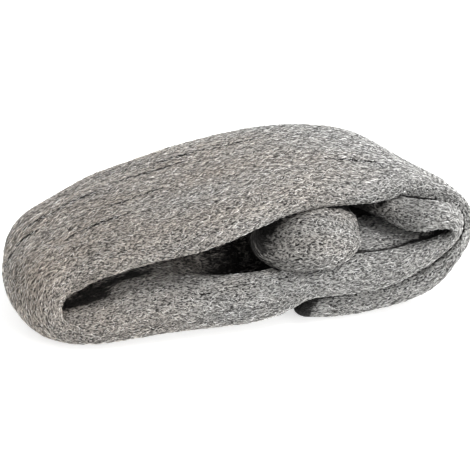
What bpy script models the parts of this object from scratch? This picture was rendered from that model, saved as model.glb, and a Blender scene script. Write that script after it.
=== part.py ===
"""Steel wool bundle of about 200 g, as sold for polishing and stripping.

It is one long batt, a strip of fine steel fibres, wound flat on itself. From outside to inside it runs as
  the tail, which lies on the bench with its cut end under the middle of the bundle,
  the outer turn at the right end,
  the cover, over the whole length,
  the left turn,
  the base, back along the bench and up over the tail,
  the inner turn at the right end, inside the outer one,
  the return, a short stretch under the cover,
  the fold, and
  the wad, the inner end, which is folded back to the right and bulges out of the open side.
Each layer is laid on the one below it, and the turns join them. The batt is lofted along this route.
"""

import math
from dataclasses import astuple, dataclass

import bmesh
import bpy
import numpy as np

MM = 0.001

# The bundle as it lies: its length along X, the strip's width along Y, the open side towards -Y.
BUNDLE_LENGTH = 239 * MM
STRIP_WIDTH = 100 * MM

# The thickness of the batt, squeezed under the bundle and at the turns, and loose above.
TAIL_THICKNESS = 14.6 * MM
OUTER_TURN_THICKNESS = 5.6 * MM
COVER_THICKNESS = 14 * MM
LEFT_TURN_THICKNESS = 19 * MM
BASE_THICKNESS = 32 * MM
NECK_THICKNESS = 21 * MM
INNER_TURN_THICKNESS = 6.8 * MM
RETURN_THICKNESS = 8.4 * MM
FOLD_THICKNESS = 6.8 * MM
WAD_THICKNESS = 12.6 * MM

# The least gap between two layers, and the height of the mouth, where the cover stands off the base.
PLY_GAP = 1 * MM
MOUTH_HEIGHT = 11.7 * MM

# How far in from the right end the tail is cut and the wad is folded, and the wad's length from its fold.
TAIL_UNDERLAP = 90.5 * MM
FOLD_INSET = 117.6 * MM
WAD_LENGTH = 56 * MM

# The turns, measured at the middle of the batt, and how far they sag or rise from the layers they join.
LEFT_TURN_RADIUS = 13.5 * MM
LEFT_TURN_SAG = 1.5 * MM
INNER_TURN_RADIUS = 5.8 * MM
INNER_TURN_RISE = 1.7 * MM
TURN_GAP = 1.1 * MM
FOLD_TIGHTNESS = 0.9

# The wad's swell at the open side, the pocket in the base before it, and the return's puffed edge.
WAD_SWELL = 13.5 * MM
POCKET_DEPTH = 13 * MM
EDGE_PUFF = 9.5 * MM

# A crease along the back of the cover, from the left turn on.
CREASE_DEPTH = 2.2 * MM

# How far the wool gives where it lies on the bench.
BENCH_GIVE = 0.6 * MM

# The bundle's rounding by handling: in plan at its ends, down at its edges, and the twist of its right end,
# which starts and is full so far in from there, and above so much height.
LEFT_ROUNDING = 0.135
RIGHT_ROUNDING = 0.06
FRONT_SQUASH = 0.07
BACK_SQUASH = 0.09
RIGHT_TWIST = 14 * MM
TWIST_START = 56 * MM
TWIST_END = 1 * MM
TWIST_HEIGHT = 40 * MM
DROOP_POWER = 2.6

# The loft: sections along the batt, crowded at the turns, and points round each section.
SECTION_COUNT = 148
SECTION_POINTS = 38
TURN_SPACING = 18 * MM
SMOOTHING = 5
EDGE_ROUNDNESS = 2.2
END_ROUNDING = 6 * MM
END_NARROWING = 4 * MM

# Where the forms of a section begin and end, across the strip: -1 is its front edge and 1 its back edge.
SWELL_ACROSS = (-0.12, -0.5)
PUFF_ACROSS = (-0.58, -0.73)
POCKET_FRONT_ACROSS = (-0.75, -0.5)
POCKET_BACK_ACROSS = (-0.1, -0.4)
FILL_ACROSS = (-0.3, 0.15)
CREASE_ACROSS = 0.55
CREASE_WIDTH = 0.13

LEFT_END = -BUNDLE_LENGTH / 2
RIGHT_END = BUNDLE_LENGTH / 2
CUT = RIGHT_END - TAIL_UNDERLAP
FOLD = RIGHT_END - FOLD_INSET
WAD_END = FOLD + WAD_LENGTH


LENGTHS = ("front", "back", "droop", "fill")


@dataclass
class Station:
    """A place on the route: the batt's middle, its thickness and the form of its section there.

    Lengths: front and back are how far the edges lie inside the strip's width, droop is how far the front
    edge hangs, and fill is how much the inner side is raised at the back. Shares: swell, dish, puff and crease
    say how much of the wad's swell, the pocket, the edge's puff and the crease there is.
    """

    x: float
    z: float
    thick: float
    front: float = 0.0
    back: float = 0.0
    droop: float = 0.0
    fill: float = 0.0
    swell: float = 0.0
    dish: float = 0.0
    puff: float = 0.0
    crease: float = 0.0
    square: float = 5.0


def bench(x):
    """The height of what the bundle lies on."""
    return 0.0


def top(stretch, beyond):
    """The height of a stretch's upper side at x, or of what lies beyond its ends."""
    heights = sorted((s.x, s.z + s.thick / 2) for s in stretch)
    xs, zs = zip(*heights)

    def height(x):
        if xs[0] <= x <= xs[-1]:
            return float(np.interp(x, xs, zs))
        return beyond(x)

    return height


def form(values):
    """The form of a section, with its lengths given in millimetres and its shares as they are."""
    return {name: value * MM if name in LENGTHS else value for name, value in values.items()}


def layer(under, thickness, gap=PLY_GAP):
    """Makes the stations of a stretch that is laid on what is under it.

    A station is given as its distance in millimetres from an anchor, how many gaps it stands off, its share
    of the stretch's thickness, and the squareness and form of its section.
    """

    def at(anchor, offset, gaps, share, square=5.0, **values):
        x = anchor + offset * MM
        thick = share * thickness
        return Station(x, under(x) + gaps * gap + thick / 2, thick, square=square, **form(values))

    return at


def turn(centre, radius, thickness, places):
    """Stations on an arc round a centre. The places give each one's angle in degrees and its form."""
    arc = []
    for angle, values in places:
        x = centre[0] + radius * math.cos(math.radians(angle))
        z = centre[1] + radius * math.sin(math.radians(angle))
        arc.append(Station(x, z, thickness, **form(values)))
    return arc


def tail():
    at = layer(bench, TAIL_THICKNESS)
    return [
        at(CUT, -5, 4.4, 0.36, 14, front=4, droop=0.5),
        at(CUT, 2, 1, 0.78, 14, front=3, droop=1.5),
        at(CUT, 10, 0, 0.97, 14, front=2, droop=1.5),
        at(CUT, 22, 0, 1, 14, front=3, droop=1.5),
        at(RIGHT_END, -49.5, 1.6, 0.985, 14, front=3, droop=1),
        at(RIGHT_END, -33.5, 5.3, 0.86, 14, front=4, back=4),
        at(RIGHT_END, -20.5, 11, 0.72, 14, front=3, back=10),
    ]


def base(under):
    loose = layer(under, BASE_THICKNESS)
    neck = layer(under, NECK_THICKNESS)
    return [
        loose(LEFT_END, 28, 0, 0.66, back=7, fill=3),
        loose(LEFT_END, 44, 0, 0.81, 4.4, back=4, fill=5.5),
        loose(LEFT_END, 64, 0, 1, 3.8, back=1, fill=6),
        loose(LEFT_END, 89, 0, 1, 3.4, dish=0.23, fill=10),
        loose(CUT, -38, 0, 0.97, 3.6, dish=1, fill=15),
        loose(CUT, -20, 1.6, 0.92, 4, dish=1, fill=2),
        loose(CUT, -11, 6.8, 0.75, 4.4, dish=0.6),
        neck(CUT, 0, 4.4, 0.81),
        neck(CUT, 10, 1.6, 0.85, 9),
        neck(CUT, 22, 1.3, 0.98, 10),
        neck(RIGHT_END, -51.5, 1.4, 1, 12, fill=5),
        neck(RIGHT_END, -37.5, 2.1, 0.81, 12, back=3, fill=5),
        neck(RIGHT_END, -26.5, 2.6, 0.57, 12, front=1, back=10, fill=4),
    ]


def wad(under):
    at = layer(under, WAD_THICKNESS)
    return [
        at(FOLD, 12.7, 3.3, 0.76, 2.8, front=11, back=16, droop=-8, swell=0.4),
        at(FOLD, 26.7, 1.5, 1, 2.6, front=3, back=20, droop=-8, swell=1),
        at(FOLD, 40.7, 1.9, 0.83, 2.6, back=24, droop=-7, swell=0.97),
        at(WAD_END, 0, 2.4, 0.64, 2.8, front=3, back=30, droop=-5.5, swell=0.7),
    ]


def returning(under):
    at = layer(under, RETURN_THICKNESS)
    return [
        at(RIGHT_END, -28.5, 5.6, 0.83, 8, front=4, back=16, puff=0.9),
        at(RIGHT_END, -36, 6.2, 0.95, 8, front=4, back=12, droop=2.5, puff=0.9),
        at(WAD_END, 19, 7, 1, 6, front=20, back=9, droop=5),
        at(WAD_END, 13, 7.8, 1.02, front=34, back=7, droop=3),
        at(WAD_END, 7, 9, 1.02, front=39, back=6, droop=2),
        at(WAD_END, 0, 0.2, 1, front=41, back=6, droop=2),
        at(WAD_END, -11, 1.9, 1, front=39, back=6, droop=1),
        at(FOLD, 26.7, 2.7, 1, front=39, back=6, droop=1),
        at(FOLD, 12.7, 4.4, 0.95, front=34, back=8, droop=1),
    ]


def cover(under):
    """The right part lies on the return, and the left part stands over the mouth."""
    at = layer(under, COVER_THICKNESS)
    over_mouth = layer(under, COVER_THICKNESS, MOUTH_HEIGHT)
    return [
        at(RIGHT_END, -23, 1.3, 0.56, 8, front=28, back=29, droop=0.5),
        at(RIGHT_END, -37.5, 2.4, 0.77, 8, front=30, back=5, droop=0.5),
        at(WAD_END, 9, 1.75, 0.82, front=18, droop=2.5),
        at(WAD_END, -7, 1, 0.93, front=22, back=-4, droop=3),
        at(FOLD, 26.7, 1.3, 0.93, front=18, back=-6, droop=2.5),
        at(FOLD, 13, 1.2, 0.96, front=15, back=-6, droop=2.5),
        over_mouth(FOLD, -15.3, 1.88, 1, front=5, back=-6, droop=2.5, fill=8),
        over_mouth(LEFT_END, 91, 1.62, 1, front=5, back=-3.5, droop=4, fill=7.5),
        over_mouth(LEFT_END, 76, 1.34, 1.03, front=6, back=2, droop=2.5, fill=5, crease=0.2),
        over_mouth(LEFT_END, 61, 1, 1.07, front=6, back=3, droop=1, fill=4, crease=0.6),
        over_mouth(LEFT_END, 44, 1, 1.12, front=7, back=1, fill=4, crease=1),
        over_mouth(LEFT_END, 28, 0.72, 1.17, front=9, back=11, fill=3, crease=1),
    ]


def stations():
    """The batt from its outer end to its inner end."""
    tail_part = tail()
    base_part = base(top(tail_part, bench))
    wad_part = wad(top(base_part, bench))
    return_part = returning(top(wad_part, top(base_part, bench)))

    # The two turns at the right end lie one in the other, round the same centre.
    outer_radius = INNER_TURN_RADIUS + INNER_TURN_THICKNESS / 2 + TURN_GAP + OUTER_TURN_THICKNESS / 2
    right_centre = (
        RIGHT_END - OUTER_TURN_THICKNESS / 2 - outer_radius,
        base_part[-1].z + INNER_TURN_RISE + INNER_TURN_RADIUS,
    )
    inner_turn = turn(right_centre, INNER_TURN_RADIUS, INNER_TURN_THICKNESS, [
        (-90, dict(front=3, back=19, square=8)),
        (-45, dict(front=4, back=20, square=8)),
        (0, dict(front=4, back=21, square=8)),
        (45, dict(front=4, back=21, square=8, puff=0.2)),
        (90, dict(front=4, back=20, square=8, puff=0.5)),
    ])
    outer_turn = turn(right_centre, outer_radius, OUTER_TURN_THICKNESS, [
        (-56, dict(front=3, back=18, square=14)),
        (-16, dict(front=7, back=34, square=14)),
        (15, dict(front=12, back=37, square=14)),
        (64, dict(front=24, back=36, square=12)),
    ])
    cover_part = cover(top(inner_turn[-1:] + return_part, top(base_part, bench)))

    # The left turn joins the cover and the base.
    left_centre = (
        LEFT_END + LEFT_TURN_THICKNESS / 2 + LEFT_TURN_RADIUS,
        (cover_part[-1].z + base_part[0].z) / 2 - LEFT_TURN_SAG,
    )
    left_turn = turn(left_centre, LEFT_TURN_RADIUS, LEFT_TURN_THICKNESS, [
        (120, dict(front=7, back=19, crease=1)),
        (180, dict(front=4, back=27, square=4, crease=0.8)),
        (238, dict(front=5, back=17, square=4)),
    ])

    # The fold joins the return and the wad.
    fold_radius = FOLD_TIGHTNESS * (return_part[-1].z - wad_part[0].z) / 2
    fold_centre = (FOLD + FOLD_THICKNESS / 2 + fold_radius, (return_part[-1].z + wad_part[0].z) / 2)
    fold = turn(fold_centre, fold_radius, FOLD_THICKNESS, [
        (120, dict(front=30, back=10, square=4)),
        (160, dict(front=26, back=11, square=4)),
        (200, dict(front=21, back=13, droop=-2, square=4)),
        (240, dict(front=18, back=14, droop=-6, swell=0.04, square=4)),
    ])
    outer_layer = tail_part + outer_turn + cover_part + left_turn
    return outer_layer + base_part + inner_turn + return_part + fold + wad_part


def smooth(edges, values):
    """0 before the first edge, 1 past the second, and a smooth rise between."""
    t = np.clip((values - edges[0]) / (edges[1] - edges[0]), 0, 1)
    return t * t * (3 - 2 * t)


def eased(points, count):
    """Points on a smooth curve through the given ones, a cubic whose slopes come from the neighbours.

    They lie closer together where the curve turns.
    """
    steps = np.linalg.norm(np.diff(points[:, :2], axis=0), axis=1)
    at = np.concatenate([[0.0], np.cumsum(steps)])
    slopes = np.empty_like(points)
    slopes[1:-1] = (points[2:] - points[:-2]) / (at[2:] - at[:-2])[:, None]
    slopes[0] = (points[1] - points[0]) / steps[0]
    slopes[-1] = (points[-1] - points[-2]) / steps[-1]

    def curve(where):
        i = np.clip(np.searchsorted(at, where, side="right") - 1, 0, len(steps) - 1)
        span = steps[i][:, None]
        t = ((where - at[i]) / steps[i])[:, None]
        return (
            (2 * t**3 - 3 * t**2 + 1) * points[i]
            + (t**3 - 2 * t**2 + t) * span * slopes[i]
            + (3 * t**2 - 2 * t**3) * points[i + 1]
            + (t**3 - t**2) * span * slopes[i + 1]
        )

    fine = np.linspace(0.0, at[-1], 40 * count)
    leg = np.diff(curve(fine)[:, :2], axis=0)
    heading = np.unwrap(np.arctan2(leg[:, 1], leg[:, 0]))
    turning = np.abs(np.diff(heading, prepend=heading[0]))
    travel = np.cumsum(np.concatenate([[0.0], np.linalg.norm(leg, axis=1) + TURN_SPACING * turning]))
    spaced = curve(np.interp(np.linspace(0.0, travel[-1], count), travel, fine))
    for _ in range(SMOOTHING):
        spaced[1:-1] = (spaced[:-2] + 2 * spaced[1:-1] + spaced[2:]) / 4
    return spaced


def rings():
    """The loft's sections, an array of SECTION_COUNT by SECTION_POINTS by 3."""
    route = eased(np.array([astuple(station) for station in stations()]), SECTION_COUNT)
    x, z, thick, front, back, droop, fill, swell, dish, puff, crease, square = (c[:, None] for c in route.T)
    run = np.gradient(route[:, :2], axis=0)
    run /= np.linalg.norm(run, axis=1)[:, None]
    outward_x, outward_z = run[:, 1:], -run[:, :1]

    turn_round = np.linspace(0.0, 2 * math.pi, SECTION_POINTS, endpoint=False)
    across = np.cos(turn_round)[None]
    side = np.sign(np.sin(turn_round).round(9))[None]
    rise = np.maximum(1 - np.abs(across) ** square, 0) ** (1 / EDGE_ROUNDNESS)

    # The batt thins to a rounded edge at its two ends.
    steps = np.linalg.norm(np.diff(route[:, :2], axis=0), axis=1)
    travel = np.concatenate([[0.0], np.cumsum(steps)])[:, None]
    from_end = np.minimum(travel, travel[-1] - travel)
    taper = np.sqrt(1 - (1 - np.clip(from_end / END_ROUNDING, 0.02, 1)) ** 2)

    # The mid-line is moved by half of what one side gains, so that the edges stay round.
    inner_gain = WAD_SWELL * swell * smooth(SWELL_ACROSS, across)
    outer_gain = EDGE_PUFF * puff * smooth(PUFF_ACROSS, across)
    pocket = POCKET_DEPTH * dish * smooth(POCKET_FRONT_ACROSS, across) * smooth(POCKET_BACK_ACROSS, across)
    groove = CREASE_DEPTH * crease * np.exp(-(((across - CREASE_ACROSS) / CREASE_WIDTH) ** 2))
    cut = np.where(side < 0, pocket - fill * smooth(FILL_ACROSS, across), groove)
    hang = np.where(across < 0, droop, 0) * np.abs(across) ** DROOP_POWER
    half = 0.5 * (thick + inner_gain + outer_gain) - cut
    offset = side * half * rise * taper - hang - 0.5 * (inner_gain - outer_gain)

    half_strip = STRIP_WIDTH / 2
    half_width = half_strip - (front + back) / 2 - (1 - taper) * END_NARROWING
    points = np.empty(offset.shape + (3,))
    points[..., 0] = x + offset * outward_x
    points[..., 1] = (front - back) / 2 + half_width * across
    points[..., 2] = z + offset * outward_z
    return laid_down(settled(points))


def settled(points):
    """The bundle rounded off in plan at its ends, squashed towards its edges and twisted at its right end."""
    x, y, z = np.moveaxis(points, -1, 0)
    half_strip = STRIP_WIDTH / 2
    spread = (np.abs(y) / half_strip) ** DROOP_POWER
    squash = np.where(y < 0, FRONT_SQUASH, BACK_SQUASH)
    twisted = smooth((RIGHT_END - TWIST_START, RIGHT_END - TWIST_END), x) * smooth((0, TWIST_HEIGHT), z)
    rounding = np.where(x < 0, LEFT_ROUNDING, RIGHT_ROUNDING)
    sunk = z * (1 - squash * spread) - RIGHT_TWIST * twisted * y / half_strip
    return np.stack([x * (1 - rounding * spread), y, sunk], axis=-1)


def laid_down(points):
    """The bundle lying flat on the bench, with the origin there, under the middle of its length and width."""
    middle = (points.min(axis=(0, 1)) + points.max(axis=(0, 1))) / 2
    middle[2] = points[..., 2].min() + BENCH_GIVE
    points = points - middle
    points[..., 2] = np.maximum(points[..., 2], 0)
    return points


def loft(name, sections):
    """A closed mesh through the sections, with a face at each end."""
    bm = bmesh.new()
    loops = [[bm.verts.new(point) for point in section] for section in sections]
    for here, there in zip(loops, loops[1:]):
        for j, corner in enumerate(here):
            bm.faces.new((here[j - 1], there[j - 1], there[j], corner))
    bm.faces.new(loops[0])
    bm.faces.new(list(reversed(loops[-1])))
    bmesh.ops.recalc_face_normals(bm, faces=bm.faces)
    mesh = bpy.data.meshes.new(name)
    bm.to_mesh(mesh)
    bm.free()
    return mesh


def steel_wool():
    """Fine steel fibres, bright one by one and a dull grey as a mass."""
    material = bpy.data.materials.new("steel_wool")
    material.use_nodes = True
    shader = material.node_tree.nodes["Principled BSDF"]
    shader.inputs["Base Color"].default_value = (0.30, 0.29, 0.28, 1.0)
    shader.inputs["Metallic"].default_value = 0.6
    shader.inputs["Roughness"].default_value = 0.6
    return material


def main():
    for old in list(bpy.data.objects):
        bpy.data.objects.remove(old)
    mesh = loft("wool_batt", rings())
    mesh.materials.append(steel_wool())
    mesh.shade_smooth()
    batt = bpy.data.objects.new("wool_batt", mesh)
    bpy.context.scene.collection.objects.link(batt)


main()
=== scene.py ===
import math
from dataclasses import astuple, dataclass

import bpy
import numpy as np
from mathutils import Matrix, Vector
from mathutils.bvhtree import BVHTree


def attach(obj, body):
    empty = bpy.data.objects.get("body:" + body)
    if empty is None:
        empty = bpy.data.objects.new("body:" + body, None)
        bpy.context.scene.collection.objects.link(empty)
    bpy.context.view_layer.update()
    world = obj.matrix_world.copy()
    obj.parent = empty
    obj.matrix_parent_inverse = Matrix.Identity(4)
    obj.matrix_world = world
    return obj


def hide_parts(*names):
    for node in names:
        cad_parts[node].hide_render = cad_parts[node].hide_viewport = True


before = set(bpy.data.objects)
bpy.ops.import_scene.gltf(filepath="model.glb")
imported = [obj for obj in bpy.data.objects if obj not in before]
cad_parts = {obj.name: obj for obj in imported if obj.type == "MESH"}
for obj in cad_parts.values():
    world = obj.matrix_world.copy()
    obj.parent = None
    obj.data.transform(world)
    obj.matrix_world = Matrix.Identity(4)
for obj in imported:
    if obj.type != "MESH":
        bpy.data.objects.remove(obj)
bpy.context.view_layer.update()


# The route of the batt
# The bundle is one strip of steel wool, about 100 mm wide, wound flat on itself by machine and squeezed.
# Its layers lie on each other and its turns join them, so the route is laid out from the bench upwards.

MM = 0.001
BUNDLE_LENGTH = 239 * MM
STRIP_WIDTH = 100 * MM

TAIL_THICKNESS = 14.6 * MM
OUTER_TURN_THICKNESS = 5.6 * MM
COVER_THICKNESS = 14 * MM
LEFT_TURN_THICKNESS = 19 * MM
BASE_THICKNESS = 32 * MM
NECK_THICKNESS = 21 * MM
INNER_TURN_THICKNESS = 6.8 * MM
RETURN_THICKNESS = 8.4 * MM
FOLD_THICKNESS = 6.8 * MM
WAD_THICKNESS = 12.6 * MM

PLY_GAP = 1 * MM
MOUTH_HEIGHT = 11.7 * MM
TAIL_UNDERLAP = 90.5 * MM
FOLD_INSET = 117.6 * MM
WAD_LENGTH = 56 * MM

LEFT_TURN_RADIUS = 13.5 * MM
LEFT_TURN_SAG = 1.5 * MM
INNER_TURN_RADIUS = 5.8 * MM
INNER_TURN_RISE = 1.7 * MM
TURN_GAP = 1.1 * MM
FOLD_TIGHTNESS = 0.9

LEFT_END = -BUNDLE_LENGTH / 2
RIGHT_END = BUNDLE_LENGTH / 2
CUT = RIGHT_END - TAIL_UNDERLAP
FOLD = RIGHT_END - FOLD_INSET
WAD_END = FOLD + WAD_LENGTH

FORM_LENGTHS = ("front", "back", "droop", "fill")


@dataclass
class Station:
    """A place on the route: the batt's middle, its thickness and the form of its section there.

    front and back are how far the edges lie inside the strip's width, droop is how far the front edge hangs,
    fill raises the inner side at the back, and swell, dish, puff and crease are shares of those forms. square
    is the power that keeps the section flat up to its edges.
    """

    x: float
    z: float
    thick: float
    front: float = 0.0
    back: float = 0.0
    droop: float = 0.0
    fill: float = 0.0
    swell: float = 0.0
    dish: float = 0.0
    puff: float = 0.0
    crease: float = 0.0
    square: float = 5.0


def bench(x):
    """The height of what the bundle lies on."""
    return 0.0


def top(stretch, beyond):
    """The height of a stretch's upper side at x, or of what lies beyond its ends."""
    heights = sorted((s.x, s.z + s.thick / 2) for s in stretch)
    xs, zs = zip(*heights)

    def height(x):
        """The height at x, on straight lines between the stations."""
        if xs[0] <= x <= xs[-1]:
            return float(np.interp(x, xs, zs))
        return beyond(x)

    return height


def form(values):
    """The form of a section, with its lengths given in millimetres and its shares as they are."""
    return {name: value * MM if name in FORM_LENGTHS else value for name, value in values.items()}


def layer(under, thickness, gap=PLY_GAP):
    """Makes the stations of a stretch that is laid on what is under it.

    A station is given as its distance in millimetres from an anchor, how many gaps it stands off, its share
    of the stretch's thickness, and the squareness and form of its section.
    """

    def at(anchor, offset, gaps, share, square=5.0, **values):
        """A station whose middle lies half of its thickness over its gaps and what is under them."""
        x = anchor + offset * MM
        thick = share * thickness
        return Station(x, under(x) + gaps * gap + thick / 2, thick, square=square, **form(values))

    return at


def turn(centre, radius, thickness, places):
    """Stations on an arc: the centre plus the radius times each angle's cosine and sine.

    The places give each station's angle in degrees and its form.
    """
    arc = []
    for angle, values in places:
        x = centre[0] + radius * math.cos(math.radians(angle))
        z = centre[1] + radius * math.sin(math.radians(angle))
        arc.append(Station(x, z, thickness, **form(values)))
    return arc


def tail():
    """The cut outer end, which lies on the bench under the right half and climbs at the right end."""
    at = layer(bench, TAIL_THICKNESS)
    return [
        at(CUT, -5, 4.4, 0.36, 14, front=4, droop=0.5),
        at(CUT, 2, 1, 0.78, 14, front=3, droop=1.5),
        at(CUT, 10, 0, 0.97, 14, front=2, droop=1.5),
        at(CUT, 22, 0, 1, 14, front=3, droop=1.5),
        at(RIGHT_END, -49.5, 1.6, 0.985, 14, front=3, droop=1),
        at(RIGHT_END, -33.5, 5.3, 0.86, 14, front=4, back=4),
        at(RIGHT_END, -20.5, 11, 0.72, 14, front=3, back=10),
    ]


def base(under):
    """The thick lower stretch, squeezed to a neck where it lies on the tail."""
    loose = layer(under, BASE_THICKNESS)
    neck = layer(under, NECK_THICKNESS)
    return [
        loose(LEFT_END, 28, 0, 0.66, back=7, fill=3),
        loose(LEFT_END, 44, 0, 0.81, 4.4, back=4, fill=5.5),
        loose(LEFT_END, 64, 0, 1, 3.8, back=1, fill=6),
        loose(LEFT_END, 89, 0, 1, 3.4, dish=0.23, fill=10),
        loose(CUT, -38, 0, 0.97, 3.6, dish=1, fill=15),
        loose(CUT, -20, 1.6, 0.92, 4, dish=1, fill=2),
        loose(CUT, -11, 6.8, 0.75, 4.4, dish=0.6),
        neck(CUT, 0, 4.4, 0.81),
        neck(CUT, 10, 1.6, 0.85, 9),
        neck(CUT, 22, 1.3, 0.98, 10),
        neck(RIGHT_END, -51.5, 1.4, 1, 12, fill=5),
        neck(RIGHT_END, -37.5, 2.1, 0.81, 12, back=3, fill=5),
        neck(RIGHT_END, -26.5, 2.6, 0.57, 12, front=1, back=10, fill=4),
    ]


def wad(under):
    """The strip's inner end, which lies on the base and bulges out of the open front."""
    at = layer(under, WAD_THICKNESS)
    return [
        at(FOLD, 12.7, 3.3, 0.76, 2.8, front=11, back=16, droop=-8, swell=0.4),
        at(FOLD, 26.7, 1.5, 1, 2.6, front=3, back=20, droop=-8, swell=1),
        at(FOLD, 40.7, 1.9, 0.83, 2.6, back=24, droop=-7, swell=0.97),
        at(WAD_END, 0, 2.4, 0.64, 2.8, front=3, back=30, droop=-5.5, swell=0.7),
    ]


def returning(under):
    """The stretch that comes back from the right end and runs over the wad to the fold."""
    at = layer(under, RETURN_THICKNESS)
    return [
        at(RIGHT_END, -28.5, 5.6, 0.83, 8, front=4, back=16, puff=0.9),
        at(RIGHT_END, -36, 6.2, 0.95, 8, front=4, back=12, droop=2.5, puff=0.9),
        at(WAD_END, 19, 7, 1, 6, front=20, back=9, droop=5),
        at(WAD_END, 13, 7.8, 1.02, front=34, back=7, droop=3),
        at(WAD_END, 7, 9, 1.02, front=39, back=6, droop=2),
        at(WAD_END, 0, 0.2, 1, front=41, back=6, droop=2),
        at(WAD_END, -11, 1.9, 1, front=39, back=6, droop=1),
        at(FOLD, 26.7, 2.7, 1, front=39, back=6, droop=1),
        at(FOLD, 12.7, 4.4, 0.95, front=34, back=8, droop=1),
    ]


def cover(under):
    """The top of the bundle: its right part lies on the return, and its left part stands over the mouth."""
    at = layer(under, COVER_THICKNESS)
    over_mouth = layer(under, COVER_THICKNESS, MOUTH_HEIGHT)
    return [
        at(RIGHT_END, -23, 1.3, 0.56, 8, front=28, back=29, droop=0.5),
        at(RIGHT_END, -37.5, 2.4, 0.77, 8, front=30, back=5, droop=0.5),
        at(WAD_END, 9, 1.75, 0.82, front=18, droop=2.5),
        at(WAD_END, -7, 1, 0.93, front=22, back=-4, droop=3),
        at(FOLD, 26.7, 1.3, 0.93, front=18, back=-6, droop=2.5),
        at(FOLD, 13, 1.2, 0.96, front=15, back=-6, droop=2.5),
        over_mouth(FOLD, -15.3, 1.88, 1, front=5, back=-6, droop=2.5, fill=8),
        over_mouth(LEFT_END, 91, 1.62, 1, front=5, back=-3.5, droop=4, fill=7.5),
        over_mouth(LEFT_END, 76, 1.34, 1.03, front=6, back=2, droop=2.5, fill=5, crease=0.2),
        over_mouth(LEFT_END, 61, 1, 1.07, front=6, back=3, droop=1, fill=4, crease=0.6),
        over_mouth(LEFT_END, 44, 1, 1.12, front=7, back=1, fill=4, crease=1),
        over_mouth(LEFT_END, 28, 0.72, 1.17, front=9, back=11, fill=3, crease=1),
    ]


def stations():
    """The batt from its outer end to its inner end."""
    tail_part = tail()
    base_part = base(top(tail_part, bench))
    wad_part = wad(top(base_part, bench))
    return_part = returning(top(wad_part, top(base_part, bench)))

    # The two turns at the right end lie one in the other, round the same centre.
    outer_radius = INNER_TURN_RADIUS + INNER_TURN_THICKNESS / 2 + TURN_GAP + OUTER_TURN_THICKNESS / 2
    right_centre = (
        RIGHT_END - OUTER_TURN_THICKNESS / 2 - outer_radius,
        base_part[-1].z + INNER_TURN_RISE + INNER_TURN_RADIUS,
    )
    inner_turn = turn(right_centre, INNER_TURN_RADIUS, INNER_TURN_THICKNESS, [
        (-90, dict(front=3, back=19, square=8)),
        (-45, dict(front=4, back=20, square=8)),
        (0, dict(front=4, back=21, square=8)),
        (45, dict(front=4, back=21, square=8, puff=0.2)),
        (90, dict(front=4, back=20, square=8, puff=0.5)),
    ])
    outer_turn = turn(right_centre, outer_radius, OUTER_TURN_THICKNESS, [
        (-56, dict(front=3, back=18, square=14)),
        (-16, dict(front=7, back=34, square=14)),
        (15, dict(front=12, back=37, square=14)),
        (64, dict(front=24, back=36, square=12)),
    ])
    cover_part = cover(top(inner_turn[-1:] + return_part, top(base_part, bench)))

    # The left turn joins the cover and the base.
    left_centre = (
        LEFT_END + LEFT_TURN_THICKNESS / 2 + LEFT_TURN_RADIUS,
        (cover_part[-1].z + base_part[0].z) / 2 - LEFT_TURN_SAG,
    )
    left_turn = turn(left_centre, LEFT_TURN_RADIUS, LEFT_TURN_THICKNESS, [
        (120, dict(front=7, back=19, crease=1)),
        (180, dict(front=4, back=27, square=4, crease=0.8)),
        (238, dict(front=5, back=17, square=4)),
    ])

    # The fold joins the return and the wad.
    fold_radius = FOLD_TIGHTNESS * (return_part[-1].z - wad_part[0].z) / 2
    fold_centre = (FOLD + FOLD_THICKNESS / 2 + fold_radius, (return_part[-1].z + wad_part[0].z) / 2)
    fold = turn(fold_centre, fold_radius, FOLD_THICKNESS, [
        (120, dict(front=30, back=10, square=4)),
        (160, dict(front=26, back=11, square=4)),
        (200, dict(front=21, back=13, droop=-2, square=4)),
        (240, dict(front=18, back=14, droop=-6, swell=0.04, square=4)),
    ])
    outer_layer = tail_part + outer_turn + cover_part + left_turn
    return outer_layer + base_part + inner_turn + return_part + fold + wad_part


# The wool body
# The mass of the batt: steel fibres some hundredths of a millimetre thick, shaved from wire and matted so
# densely that they close the surface. It is lofted along the route, and its surface is tufted and streaked.

WAD_SWELL = 13.5 * MM
POCKET_DEPTH = 13 * MM
EDGE_PUFF = 9.5 * MM
CREASE_DEPTH = 2.2 * MM
BENCH_GIVE = 0.6 * MM

LEFT_ROUNDING = 0.135
RIGHT_ROUNDING = 0.06
FRONT_SQUASH = 0.07
BACK_SQUASH = 0.09
RIGHT_TWIST = 14 * MM
TWIST_START = 56 * MM
TWIST_END = 1 * MM
TWIST_HEIGHT = 40 * MM
DROOP_POWER = 2.6

ROUTE_SECTIONS = 148
CURVE_STEPS = 40
FINER = 6
AROUND = 104
TURN_SPACING = 18 * MM
SMOOTHING = 5
EDGE_ROUNDNESS = 2.9
END_ROUNDING = 6 * MM
WAD_ROUNDING = 18 * MM
END_NARROWING = 4 * MM
WAD_NARROWING = 8 * MM
END_BLUNTNESS = 0.02

# Where the forms of a section begin and end, across the strip: -1 is its front edge and 1 its back edge.
SWELL_ACROSS = (-0.12, -0.5)
PUFF_ACROSS = (-0.58, -0.73)
POCKET_FRONT_ACROSS = (-0.75, -0.5)
POCKET_BACK_ACROSS = (-0.1, -0.4)
FILL_ACROSS = (-0.3, 0.15)
CREASE_ACROSS = 0.55
CREASE_WIDTH = 0.13


def smooth(edges, values):
    """0 before the first edge, 1 past the second, and a smooth rise between."""
    t = np.clip((values - edges[0]) / (edges[1] - edges[0]), 0, 1)
    return t * t * (3 - 2 * t)


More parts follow.
